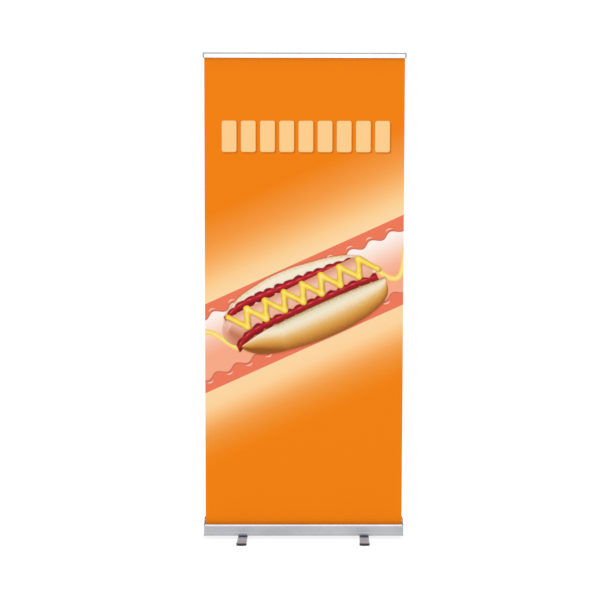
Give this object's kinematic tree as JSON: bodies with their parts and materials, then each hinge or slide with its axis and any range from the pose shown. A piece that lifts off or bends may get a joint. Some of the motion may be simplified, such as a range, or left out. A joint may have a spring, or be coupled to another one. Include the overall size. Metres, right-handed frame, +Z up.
{
  "type": "roll-up banner stand",
  "caption": "Free-standing roll-up banner: a film pulled from a spring roller in a floor cassette on swing-out feet and held up by a telescoping pole.",
  "frame": {"origin": "on the floor, midway between the two feet and midway between their front and back ends", "axes": "+Z up, +X along the cassette to the right of someone facing the print, the print faces -Y"},
  "size_m": [0.862, 0.2996, 2.09],
  "materials": {
    "anodised_aluminium": "satin natural anodised extrusion with fine drawing lines",
    "black_plastic": "moulded black ABS, fine texture",
    "grey_plastic": "moulded grey ABS",
    "pale_nylon": "moulded natural nylon",
    "steel": "bright zinc-plated steel",
    "printed_film": "satin printed polypropylene film, grey light-blocking back"
  },
  "bodies": {
    "cassette": {"cassette_shell": "anodised_aluminium", "slot_guard_front": "black_plastic", "slot_guard_back": "black_plastic", "end_cap_left": "black_plastic", "end_cap_right": "black_plastic", "cap_screw_left_1": "steel", "cap_screw_left_2": "steel", "cap_screw_left_3": "steel", "cap_screw_right_1": "steel", "cap_screw_right_2": "steel", "cap_screw_right_3": "steel", "pole_socket": "black_plastic", "axle_pin": "steel", "spring_arbor": "steel", "torsion_spring": "steel", "left_foot_rivet": "steel", "left_foot_washer": "pale_nylon", "right_foot_rivet": "steel", "right_foot_washer": "pale_nylon"},
    "roller": {"roller_tube": "anodised_aluminium", "wound_film": "printed_film", "roller_plug_left": "pale_nylon", "roller_plug_right": "pale_nylon", "spring_anchor": "pale_nylon"},
    "left_foot": {"left_foot_bar": "anodised_aluminium", "left_foot_cap_front": "black_plastic", "left_foot_cap_back": "black_plastic"},
    "right_foot": {"right_foot_bar": "anodised_aluminium", "right_foot_cap_front": "black_plastic", "right_foot_cap_back": "black_plastic"},
    "pole_lower": {"pole_foot_plug": "black_plastic", "pole_tube_lower": "anodised_aluminium", "lock_collet_lower": "pale_nylon"},
    "lock_lower": {"lock_collar_lower": "black_plastic"},
    "pole_middle": {"pole_tube_middle": "anodised_aluminium", "lock_collet_upper": "pale_nylon"},
    "lock_upper": {"lock_collar_upper": "black_plastic"},
    "pole_upper": {"pole_tube_upper": "anodised_aluminium", "pole_head": "black_plastic"},
    "top_rail": {"rail_carrier": "anodised_aluminium", "rail_cap_left": "grey_plastic", "rail_cap_right": "grey_plastic", "banner_film": "printed_film"},
    "rail_clamp": {"rail_clamp": "anodised_aluminium"}
  },
  "joints": [
    {"name": "left_foot_swing", "type": "hinge", "parent": "cassette", "child": "left_foot", "pos_m": [-0.264, 0, 0], "axis": [0, 0, 1], "range_deg": [0, 91]},
    {"name": "right_foot_swing", "type": "hinge", "parent": "cassette", "child": "right_foot", "pos_m": [0.264, 0, 0], "axis": [0, 0, 1], "range_deg": [-88, 2]},
    {"name": "pole_lift", "type": "slide", "parent": "cassette", "child": "pole_lower", "axis": [0, 0, 1], "range_m": [0, 0.026]},
    {"name": "lock_lower_twist", "type": "hinge", "parent": "pole_lower", "child": "lock_lower", "pos_m": [0, 0.02, 0.76], "axis": [0, 0, 1], "range_deg": [0, 90]},
    {"name": "pole_shorten", "type": "slide", "parent": "pole_lower", "child": "pole_middle", "axis": [0, 0, 1], "range_m": [-0.615, 0], "deforming": ["banner_film"]},
    {"name": "lock_upper_twist", "type": "hinge", "parent": "pole_middle", "child": "lock_upper", "pos_m": [0, 0.02, 1.41], "axis": [0, 0, 1], "range_deg": [0, 90]},
    {"name": "pole_upper_slide", "type": "slide", "parent": "pole_middle", "child": "pole_upper", "axis": [0, 0, 1], "range_m": [-0.615, 0]},
    {"name": "roller_spin", "type": "hinge", "parent": "cassette", "child": "roller", "pos_m": [0, -0.0051, 0.0393], "axis": [1, 0, 0], "range_deg": [0, 4200]},
    {"name": "rail_lift", "type": "slide", "parent": "pole_upper", "child": "top_rail", "axis": [0, 0, 1], "range_m": [0, 0.012]},
    {"name": "rail_clamp_open", "type": "hinge", "parent": "top_rail", "child": "rail_clamp", "pos_m": [0, -0.0262, 2.0866], "axis": [-1, 0, 0], "range_deg": [0, 50]}
  ],
  "couplings": [
    {"joint": "pole_upper_slide", "follows": "pole_shorten", "ratio": 1},
    {"joint": "roller_spin", "follows": "pole_shorten", "rad_per_m": -118.34}
  ]
}
